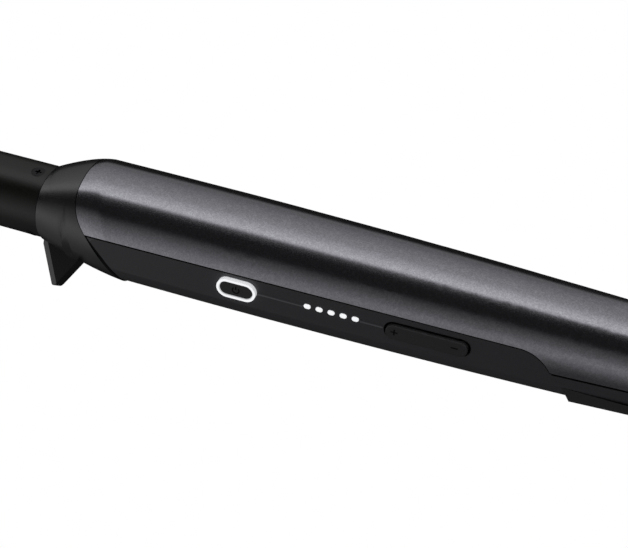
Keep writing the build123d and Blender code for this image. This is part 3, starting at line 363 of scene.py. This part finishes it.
def lit_plastic():
    """Milky polycarbonate lit from behind: a white glow at the face, less on its walls, none deep inside."""
    material, tree, shader = new_material("milky_polycarbonate_lit", IOR=1.58, Roughness=0.35)
    given = add(tree, "ShaderNodeTexCoord").outputs
    cloud = add(tree, "ShaderNodeTexNoise", {"Vector": given["Object"], "Scale": per_mm(MILK_CLOUD),
                                             "Detail": 2.0})
    for socket, dark in (("Base Color", "#e9edf0"), ("Emission Color", "#f4f7fa")):
        tint = add(tree, "ShaderNodeMix", {"Factor": cloud.outputs["Fac"], MIX_FIRST: linear(dark),
                                           MIX_SECOND: linear("#ffffff")}, data_type="RGBA")
        tree.links.new(tint.outputs[MIX_RESULT], shader.inputs[socket])
    height = add(tree, "ShaderNodeVectorMath", {0: given["Object"], 1: FLANK_OUT}, operation="DOT_PRODUCT")
    facing = add(tree, "ShaderNodeVectorMath", {0: given["Normal"], 1: FLANK_OUT}, operation="DOT_PRODUCT")
    level = add(tree, "ShaderNodeMapRange", {"Value": facing.outputs["Value"], "To Min": GLOW_WALL,
                                             "To Max": GLOW_FACE})
    face = face_frame("lamp_guide").translation.dot(FLANK_OUT)
    glow = add(tree, "ShaderNodeMapRange", {"Value": height.outputs["Value"],
                                            "From Min": face - 2 * GLOW_DEPTH * MM,
                                            "From Max": face - GLOW_DEPTH * MM,
                                            "To Max": level.outputs["Result"]})
    tree.links.new(glow.outputs["Result"], shader.inputs["Emission Strength"])
    return material


def speckled(name, dark, light, speck_mm, rough):
    """Fired, braided or filled stuff: small specks of two tones."""
    material, tree, shader = new_material(name, IOR=1.5)
    place = add(tree, "ShaderNodeTexCoord").outputs["Object"]
    cells = add(tree, "ShaderNodeTexVoronoi", {"Vector": place, "Scale": per_mm(speck_mm)})
    specks = cells.outputs["Distance"]
    dress(tree, shader, tone=(specks, dark, light), gloss=(specks, *spread(rough, SPECK_SHIFT)),
          relief=(specks, *SPECK_RELIEF))
    return material


def bead_glass():
    """Fused glass bead, amber and nearly clear."""
    material, tree, shader = new_material("fused_bead_glass", IOR=1.52, Transmission_Weight=0.8)
    place = add(tree, "ShaderNodeTexCoord").outputs["Object"]
    cloud = add(tree, "ShaderNodeTexNoise", {"Vector": place, "Scale": per_mm(BEAD_CLOUD)}).outputs["Fac"]
    dress(tree, shader, tone=(cloud, "#c89a5a", "#e6c48a"), gloss=(cloud, *BEAD_ROUGH))
    return material


PAINT = gunmetal_lacquer()
BARREL = barrel_coating()
LIT = lit_plastic()
BEAD = bead_glass()

# Glass-filled nylon, moulded: a near-black satin skin with a tight sheen that shows the studio's edges
COLLAR = grained("satin_glass_filled_nylon", "#141416", "#1f1f21", grain_mm=0.4, depth_mm=0.008, rough=0.24,
                 shine=1.0, flare=COLLAR_BLEND)
# ABS moulded with a fine grain: an even charcoal satin
LOWER = grained("satin_black_abs", "#454548", "#545457", grain_mm=0.4, depth_mm=0.01, rough=0.34, shine=0.45)
# Painted highlight: a grey hairline a little lighter than the shell, in place of the light on the groove's
# lower wall
GROOVE_HIGHLIGHT = grained("painted_groove_highlight", "#707074", "#808084", grain_mm=0.4, depth_mm=0.01, rough=0.34, shine=0.52)
# ABS under a soft-touch coat: a matt charcoal, a shade darker than the shell
KEYS = grained("soft_touch_black_abs", "#343436", "#424244", grain_mm=0.3, depth_mm=0.01, rough=0.46)
# Moulded phenolic: a dull, slightly grainy black
TIP = grained("satin_black_phenolic", "#2a2a2b", "#363637", grain_mm=0.45, depth_mm=0.015, rough=0.44)
# Moulded nylon: a dull black with a finer grain than the tip's
GLAND = grained("satin_black_nylon", "#2a2a2b", "#363637", grain_mm=0.4, depth_mm=0.012, rough=0.45)
# Moulded silicone rubber: a dry dark grey with hardly any highlight
RUBBER = grained("matt_silicone_rubber", "#303031", "#3e3e3f", grain_mm=0.5, depth_mm=0.02, rough=0.6)
# Painted shade: a flat black without gloss that stands in for the shadow in the joints' gaps
JOINT_SHADE = grained("painted_joint_shade", "#08080a", "#101012", grain_mm=0.3, depth_mm=0.004, rough=0.5,
               shine=0.1)
# Printed ink: a flat black film with next to no gloss
PRINT = grained("black_pad_print", "#08080a", "#101012", grain_mm=0.3, depth_mm=0.004, rough=0.5, shine=0.1)
# Glass-filled polyester, moulded: a brownish black with a coarse, dull skin
HEAT = grained("glass_filled_polyester", "#2c2925", "#403c36", grain_mm=0.6, depth_mm=0.02, rough=0.55)
# Moulded epoxy: the flat black of chips
PACKAGE = grained("epoxy_package", "#121213", "#1e1e1f", grain_mm=0.5, depth_mm=0.01, rough=0.5)
# Shrunk PVC: a taut dark blue skin with some gloss
SLEEVE = grained("shrunk_pvc_sleeve", "#1c2347", "#262f5c", grain_mm=0.8, depth_mm=0.01, rough=0.3)
# Potted epoxy: a warm yellow with a soft gloss
BOXED = grained("boxed_film_epoxy", "#c79a1c", "#dcb33a", grain_mm=0.8, depth_mm=0.01, rough=0.35)
# Extruded PVC: plain brown with a soft gloss
COVER = grained("brown_pvc_cover", "#4a2815", "#5f361e", grain_mm=0.6, depth_mm=0.01, rough=0.4)
# Moulded white polymer: a clean, pale chip
WHITE_CHIP = grained("white_lamp_package", "#e4e2d2", "#f4f2e6", grain_mm=0.4, depth_mm=0.005, rough=0.3)
# Braided glass thread: pale and dull, flecked by its weave
BRAID = speckled("glass_braid_sleeve", "#b9b4a6", "#ded9cc", speck_mm=0.6, rough=0.7)
# Fired alumina: a chalky off-white with faint specks, drawn far coarser than its grains so that they show
CERAMIC = speckled("fired_alumina", "#d6d2c8", "#eeebe3", speck_mm=0.7, rough=0.5)
# Lacquer on glass laminate: a glossy deep green, faintly flecked by the cloth under it
LAMINATE = speckled("solder_mask_laminate", "#0e4a27", "#176236", speck_mm=0.9, rough=0.3)
# Plated steel, turned: bright grey with a crisp sheen
STEEL = plain_metal("plated_steel", "#9a9a9d", "#c2c2c4", patch_mm=0.5, rough=0.32)
# Blackened steel, turned: dark grey with a dull glint
DARK_STEEL = plain_metal("blackened_steel", "#2a2a2b", "#414143", patch_mm=0.4, rough=0.36)
# Extruded aluminium: pale grey with a soft, uneven sheen
ALUMINIUM = plain_metal("extruded_aluminium", "#a9aaab", "#cfd0d1", patch_mm=0.6, rough=0.38)
# Rolled brass: a warm yellow with a clear sheen
BRASS = plain_metal("rolled_brass", "#a8832f", "#cfa84c", patch_mm=0.5, rough=0.28)

FINISH = {
    "barrel": BARREL, "barrel_tip": TIP, "barrel_screws": DARK_STEEL, "front_collar": COLLAR,
    "upper_shell": PAINT, "lower_shell": LOWER, "rest_pad": RUBBER, "rear_cap": LOWER,
    "shell_screws": DARK_STEEL, "power_ring": LIT, "lamp_guide": LIT, "rocker_pin": STEEL,
    "power_button": KEYS, "heat_rocker": KEYS, "barrel_holder": HEAT, "clamp_ring": HEAT,
    "heat_spreader_upper": ALUMINIUM, "heat_spreader_lower": ALUMINIUM, "heater_plate": CERAMIC,
    "temperature_sensor": BEAD, "thermal_fuse": ALUMINIUM, "heater_leads": BRAID,
    "control_board": LAMINATE, "board_screws": STEEL, "power_switch": PACKAGE, "heat_switches": PACKAGE,
    "lamp_chips": WHITE_CHIP, "controller_chip": PACKAGE, "triac": PACKAGE, "filter_capacitor": BOXED,
    "smoothing_capacitor": SLEEVE, "mains_leads": COVER, "contact_block": HEAT, "contact_springs": BRASS,
    "swivel_gland": GLAND, "swivel_clip": STEEL, "slip_rings": BRASS,
}
for node_name, material in FINISH.items():
    slots = NODES[node_name].data.materials
    slots.clear()
    slots.append(material)


def new_object(name, data):
    """Object of the scene."""
    item = bpy.data.objects.new(name, data)
    bpy.context.scene.collection.objects.link(item)
    return item


def new_piece(name, shape, material):
    """Object of a finished bmesh, in one material."""
    mesh = bpy.data.meshes.new(name)
    shape.to_mesh(mesh)
    shape.free()
    mesh.materials.append(material)
    return new_object(name, mesh)


def extruded(name, runs, material):
    """Object of straight bars: each run is an outline in millimetres and its frames at the start and end."""
    shape = bmesh.new()
    for outline, start, end in runs:
        low, high = [[shape.verts.new(place @ (Vector((x, y, 0)) * MM)) for x, y in outline]
                     for place in (start, end)]
        for i in range(len(outline)):
            shape.faces.new((low[i - 1], low[i], high[i], high[i - 1]))
        shape.faces.new(low[::-1])
        shape.faces.new(high)
    bmesh.ops.recalc_face_normals(shape, faces=shape.faces)
    return new_piece(name, shape, material)


def printed_sign(name, outlines, place, body):
    """Thin print on a control: each outline becomes a flat plate."""
    top = place @ shifted(0, 0, PRINT_THICK)
    sign = extruded(name, [(outline, place, top) for outline in outlines], PRINT)
    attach(sign, body)


def bar_outline(width, height, y=0.0):
    """Rectangle about a point at a height."""
    return [(i * width / 2, y + j * height / 2) for i, j in ((-1, -1), (1, -1), (1, 1), (-1, 1))]


def power_outlines():
    """Power sign: an open ring and a bar in its gap."""
    turns = [math.radians(90 + POWER_SIGN_GAP + (360 - 2 * POWER_SIGN_GAP) * step / POWER_SIGN_STEPS)
             for step in range(POWER_SIGN_STEPS + 1)]
    outer, inner = [[(radius * math.cos(turn), radius * math.sin(turn)) for turn in turns]
                    for radius in (POWER_SIGN_R, POWER_SIGN_R - SIGN_STROKE)]
    return [outer + inner[::-1], bar_outline(SIGN_STROKE, POWER_SIGN_R, y=POWER_BAR_RISE)]


def add_signs():
    """Power sign on the button, plus and minus on the rocker."""
    printed_sign("power_sign", power_outlines(), face_frame("power_button"), "power_button")
    rocker = face_frame("heat_rocker")
    level_bar = bar_outline(SIGN_SIZE, SIGN_STROKE)
    stub = (SIGN_SIZE - SIGN_STROKE) / 2
    stub_rise = (SIGN_STROKE + stub) / 2
    stubs = [bar_outline(SIGN_STROKE, stub, y=rise) for rise in (stub_rise, -stub_rise)]
    printed_sign("plus_sign", [level_bar] + stubs, rocker @ shifted(*PLUS_AT, 0), "heat_rocker")
    printed_sign("minus_sign", [level_bar], rocker @ shifted(*MINUS_AT, 0), "heat_rocker")


def add_flank_line():
    """Grey line of painted highlight from the ring to the lamps and on to the rocker, beside a black bed that
    fills the groove.
    """
    line = [(LINE_LOW, 0), (LINE_HIGH, 0), (LINE_HIGH, PRINT_THICK), (LINE_LOW, PRINT_THICK)]
    bed = [(LINE_HIGH, -BED_DEPTH), (BED_HIGH, 0), (BED_HIGH, PRINT_THICK), (LINE_HIGH, PRINT_THICK)]
    upright = Matrix(((0, 0, 1), (1, 0, 0), (0, 1, 0))).to_4x4()
    lamps = face_frame("lamp_guide")
    ends = [[lamps @ shifted(along, 0, depth) @ upright for along, depth in run] for run in LINE_RUNS]
    for name, outline, material in (("flank_line_highlight", line, GROOVE_HIGHLIGHT), ("flank_line_bed", bed, LOWER)):
        bars = extruded(name, [[outline] + pair for pair in ends], material)
        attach(bars, "handle")


def faces_outwards(face):
    """Whether a face of the lower shell is on its outside."""
    out = face.calc_center_median() - RIM
    out -= AXIS * out.dot(AXIS)
    return out.length >= SHADE_LEAST_R * MM and face.normal.dot(out.normalized()) >= SHADE_FACING


def add_joint_shade(name, cuts):
    """Thin black skin of painted shade over what cuts leave of the lower shell's outside, each a point and a
    direction to clear.
    """
    shape = bmesh.new()
    shape.from_mesh(NODES["lower_shell"].data)
    bmesh.ops.remove_doubles(shape, verts=shape.verts, dist=WELD * MM)
    for point, clear in cuts:
        bmesh.ops.bisect_plane(shape, geom=shape.verts[:] + shape.edges[:] + shape.faces[:], plane_co=point,
                               plane_no=clear, clear_outer=True)
    inside = [face for face in shape.faces if not faces_outwards(face)]
    bmesh.ops.delete(shape, geom=inside, context="FACES")
    shape.normal_update()
    for vertex in shape.verts:
        vertex.co += vertex.normal * SHADE_PROUD * MM
    bmesh.ops.solidify(shape, geom=shape.faces[:], thickness=SHADE_THICK * MM)
    shade_sheet = new_piece(name, shape, JOINT_SHADE)
    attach(shade_sheet, "handle")


def add_joint_shades():
    """Black sheets of painted shade in the lower shell's joints with the collar and with the upper shell."""
    x, z = COLLAR_SHADE
    sweep = math.radians(COLLAR_SHADE_SWEEP)
    add_joint_shade("collar_joint_shade", [(iron_point(x, 0, z), iron_direction(math.cos(sweep), 0, math.sin(sweep)))])
    for name, shade_sheet in PARTING_SHADES.items():
        front, rear = shade_sheet["ends"]
        rise, widening = [(shade_sheet[edge][1] - shade_sheet[edge][0]) / (rear - front) for edge in ("low", "inner")]
        for label, side in SHADE_SIDES.items():
            cuts = [(iron_point(front, 0, shade_sheet["low"][0]), iron_direction(rise, 0, -1)),
                    (iron_point(front, side * shade_sheet["inner"][0], 0), iron_direction(widening, -side, 0)),
                    (iron_point(front, 0, 0), -AXIS), (iron_point(rear, 0, 0), AXIS)]
            add_joint_shade(f"{name}_{label}", cuts)


def new_tree(name, sockets):
    """Geometry Nodes tree with named inputs; gives the tree and its inputs."""
    tree = bpy.data.node_groups.new(name, "GeometryNodeTree")
    for label, kind in sockets.items():
        tree.interface.new_socket(label, in_out="INPUT", socket_type=kind)
    tree.interface.new_socket("Geometry", in_out="OUTPUT", socket_type="NodeSocketGeometry")
    return tree, add(tree, "NodeGroupInput").outputs


def finish_tree(tree, instances, material):
    """Realizes the instances, shades them smooth and gives them their material."""
    real = add(tree, "GeometryNodeRealizeInstances", {"Geometry": instances})
    smooth = add(tree, "GeometryNodeSetShadeSmooth", {"Geometry": real.outputs["Geometry"]})
    dressed = add(tree, "GeometryNodeSetMaterial", {"Geometry": smooth.outputs["Geometry"],
                                                    "Material": material})
    add(tree, "NodeGroupOutput", {"Geometry": dressed.outputs["Geometry"]})


def lens_tree():
    """Row of oval lenses along x, the first at the origin."""
    tree, given = new_tree("lens_row", {"Count": "NodeSocketInt", "Pitch": "NodeSocketVector",
                                        "Lens Size": "NodeSocketVector"})
    row = add(tree, "GeometryNodeMeshLine", {"Count": given["Count"], "Offset": given["Pitch"]})
    ball = add(tree, "GeometryNodeMeshUVSphere", {"Segments": LENS_SEGMENTS, "Rings": BALL_RINGS,
                                                  "Radius": BALL_R})
    lens = add(tree, "GeometryNodeTransform", {"Geometry": ball.outputs["Mesh"], "Scale": given["Lens Size"]})
    placed = add(tree, "GeometryNodeInstanceOnPoints", {"Points": row.outputs["Mesh"],
                                                        "Instance": lens.outputs["Geometry"]})
    finish_tree(tree, placed.outputs["Instances"], LIT)
    return tree


def rib_tree():
    """Ring of rounded ribs about z, each leaning inwards along its length."""
    tree, given = new_tree("rib_ring", {"Count": "NodeSocketInt", "Radius": "NodeSocketFloat",
                                        "Rib Size": "NodeSocketVector", "Lean": "NodeSocketVector"})
    ring = add(tree, "GeometryNodeMeshCircle", {"Vertices": given["Count"], "Radius": given["Radius"]})
    ball = add(tree, "GeometryNodeMeshUVSphere", {"Segments": RIB_SEGMENTS, "Rings": BALL_RINGS,
                                                  "Radius": BALL_R})
    rib = add(tree, "GeometryNodeTransform", {"Geometry": ball.outputs["Mesh"], "Scale": given["Rib Size"],
                                              "Rotation": given["Lean"]})
    outwards = add(tree, "GeometryNodeInputPosition").outputs["Position"]
    turn = add(tree, "FunctionNodeAlignRotationToVector", {"Vector": outwards}, axis="X")
    placed = add(tree, "GeometryNodeInstanceOnPoints", {"Points": ring.outputs["Mesh"],
                                                        "Instance": rib.outputs["Geometry"],
                                                        "Rotation": turn.outputs["Rotation"]})
    finish_tree(tree, placed.outputs["Instances"], GLAND)
    return tree


def grown(name, tree, values, place):
    """Plain mesh object that a tree makes from named values, set in its place."""
    maker = new_object(name, bpy.data.meshes.new(name))
    modifier = maker.modifiers.new("nodes", "NODES")
    modifier.node_group = tree
    for item in tree.interface.items_tree:
        if item.in_out == "INPUT":
            modifier[item.identifier] = values[item.name]
    graph = bpy.context.evaluated_depsgraph_get()
    result = bpy.data.meshes.new_from_object(maker.evaluated_get(graph))
    maker.modifiers.remove(modifier)
    maker.data = result
    result.transform(place)
    return maker


def add_lenses():
    """Oval lenses over the lamps."""
    first = face_frame("lamp_guide") @ shifted(-LAMP_PITCH * (LAMP_COUNT - 1) / 2, LAMP_UP, 0)
    sizes = {"Count": LAMP_COUNT, "Pitch": (LAMP_PITCH * MM, 0, 0), "Lens Size": Vector(LENS_SIZE) * MM}
    lenses = grown("lamp_lenses", lens_tree(), sizes, first)
    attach(lenses, "handle")


def add_ribs():
    """Grip ribs round the cord gland."""
    place = Matrix.Translation(iron_point(GLAND_MID_X, 0, 0)) @ turned(SIDE, UP, AXIS)
    sizes = {"Count": RIB_COUNT, "Radius": GLAND_MID_R * MM, "Rib Size": Vector(RIB_SIZE) * MM,
             "Lean": (0, -math.radians(GLAND_LEAN), 0)}
    ribs = grown("gland_ribs", rib_tree(), sizes, place)
    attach(ribs, "swivel")


def add_camera():
    """Camera at the photograph's viewing angle, close to the handle and level with it."""
    data = bpy.data.cameras.new("camera")
    data.sensor_fit = "HORIZONTAL"
    data.sensor_width = CAMERA_SENSOR
    data.lens = CAMERA_LENS
    data.clip_start = CAMERA_CLIP * MM
    turn, roll = math.radians(CAMERA_TURN), math.radians(CAMERA_ROLL)
    level = iron_direction(math.cos(turn), math.sin(turn), 0)
    back = iron_direction(math.sin(turn), -math.cos(turn), 0)
    right = level * math.cos(roll) + UP * math.sin(roll)
    up = UP * math.cos(roll) - level * math.sin(roll)
    camera = new_object("camera", data)
    camera.matrix_world = Matrix.Translation(iron_point(*CAMERA_AT)) @ turned(right, up, back)
    bpy.context.scene.camera = camera


def light_round(tree, share, stops):
    """Light round the iron from stops of degrees and brightness; gives its colour."""
    ramp = add(tree, "ShaderNodeValToRGB", {"Fac": share})
    elements = ramp.color_ramp.elements
    while len(elements) < len(stops):
        elements.new(0.5)
    for element, (angle, value) in zip(elements, stops):
        element.position = (angle + 180) / 360
        element.color = [value * part for part in LIGHT_TINT] + [1.0]
    return ramp.outputs["Color"]


def add_studio():
    """Soft studio: a wide overhead box with a clean front edge, a dark gap at eye level, a pale card below.
    On the cord's side it stands behind the iron as well, and elsewhere behind it is dark."""
    world = bpy.data.worlds.new("studio")
    bpy.context.scene.world = world
    world.use_nodes = True
    tree = world.node_tree
    tree.nodes.clear()
    way = add(tree, "ShaderNodeTexCoord").outputs["Generated"]
    parts = add(tree, "ShaderNodeSeparateXYZ", {"Vector": way}).outputs
    front = add(tree, "ShaderNodeMath", {0: parts["Y"], 1: -1.0}, operation="MULTIPLY")
    both = add(tree, "ShaderNodeMath", {0: parts["Y"]}, operation="ABSOLUTE")
    above = add(tree, "ShaderNodeMapRange", {"Value": parts["Z"], "From Min": FLOOR_DARK,
                                             "From Max": FLOOR_LIT})
    lit = add(tree, "ShaderNodeMapRange", {"Value": parts["X"], "From Min": BACK_DARK, "From Max": BACK_LIT,
                                           "To Max": above.outputs["Result"]})
    depth = add(tree, "ShaderNodeMapRange", {"Value": lit.outputs["Result"], "To Min": front.outputs["Value"],
                                             "To Max": both.outputs["Value"]})
    turn = add(tree, "ShaderNodeMath", {0: depth.outputs["Result"], 1: parts["Z"]}, operation="ARCTAN2")
    share = add(tree, "ShaderNodeMapRange", {"Value": turn.outputs["Value"], "From Min": -math.pi,
                                             "From Max": math.pi}).outputs["Result"]
    colour = light_round(tree, share, BEHIND_TIP + OVERHEAD + CARD_TIP)
    for start, end, card in ((CARD_TIP_X, CARD_MIDDLE_X, CARD_MIDDLE),
                             (CARD_MIDDLE_X, CARD_CORD_X, CARD_CORD)):
        nearness = add(tree, "ShaderNodeMapRange", {"Value": parts["X"], "From Min": start, "From Max": end})
        next_colour = light_round(tree, share, BEHIND + OVERHEAD + card)
        blend = add(tree, "ShaderNodeMix", {"Factor": nearness.outputs["Result"], MIX_FIRST: colour,
                                            MIX_SECOND: next_colour}, data_type="RGBA")
        colour = blend.outputs[MIX_RESULT]
    light = add(tree, "ShaderNodeBackground", {"Color": colour, "Strength": 1.0})
    backdrop = add(tree, "ShaderNodeBackground", {"Color": WHITE, "Strength": 1.0})
    seen = add(tree, "ShaderNodeLightPath").outputs["Is Camera Ray"]
    mix = add(tree, "ShaderNodeMixShader", {0: seen, 1: light.outputs["Background"],
                                            2: backdrop.outputs["Background"]})
    add(tree, "ShaderNodeOutputWorld", {"Surface": mix.outputs["Shader"]})


def add_floor():
    """Plain white sweep, lit so evenly that it shows no shade."""
    shape = bmesh.new()
    bmesh.ops.create_grid(shape, x_segments=1, y_segments=1, size=FLOOR_REACH * MM)
    material, _, _ = new_material("white_sweep", Base_Color=BLACK, Specular_IOR_Level=0.0,
                                  Emission_Color=WHITE, Emission_Strength=1.0)
    floor = new_piece("floor", shape, material)
    floor.visible_diffuse = False
    floor.visible_glossy = False


add_signs()
# Grey line of painted highlight on the flank
add_flank_line()
# Black sheets of painted shade in the lower shell's joints
add_joint_shades()
add_lenses()
add_ribs()
add_camera()
add_studio()
add_floor()
bpy.context.scene.view_settings.view_transform = "Standard"
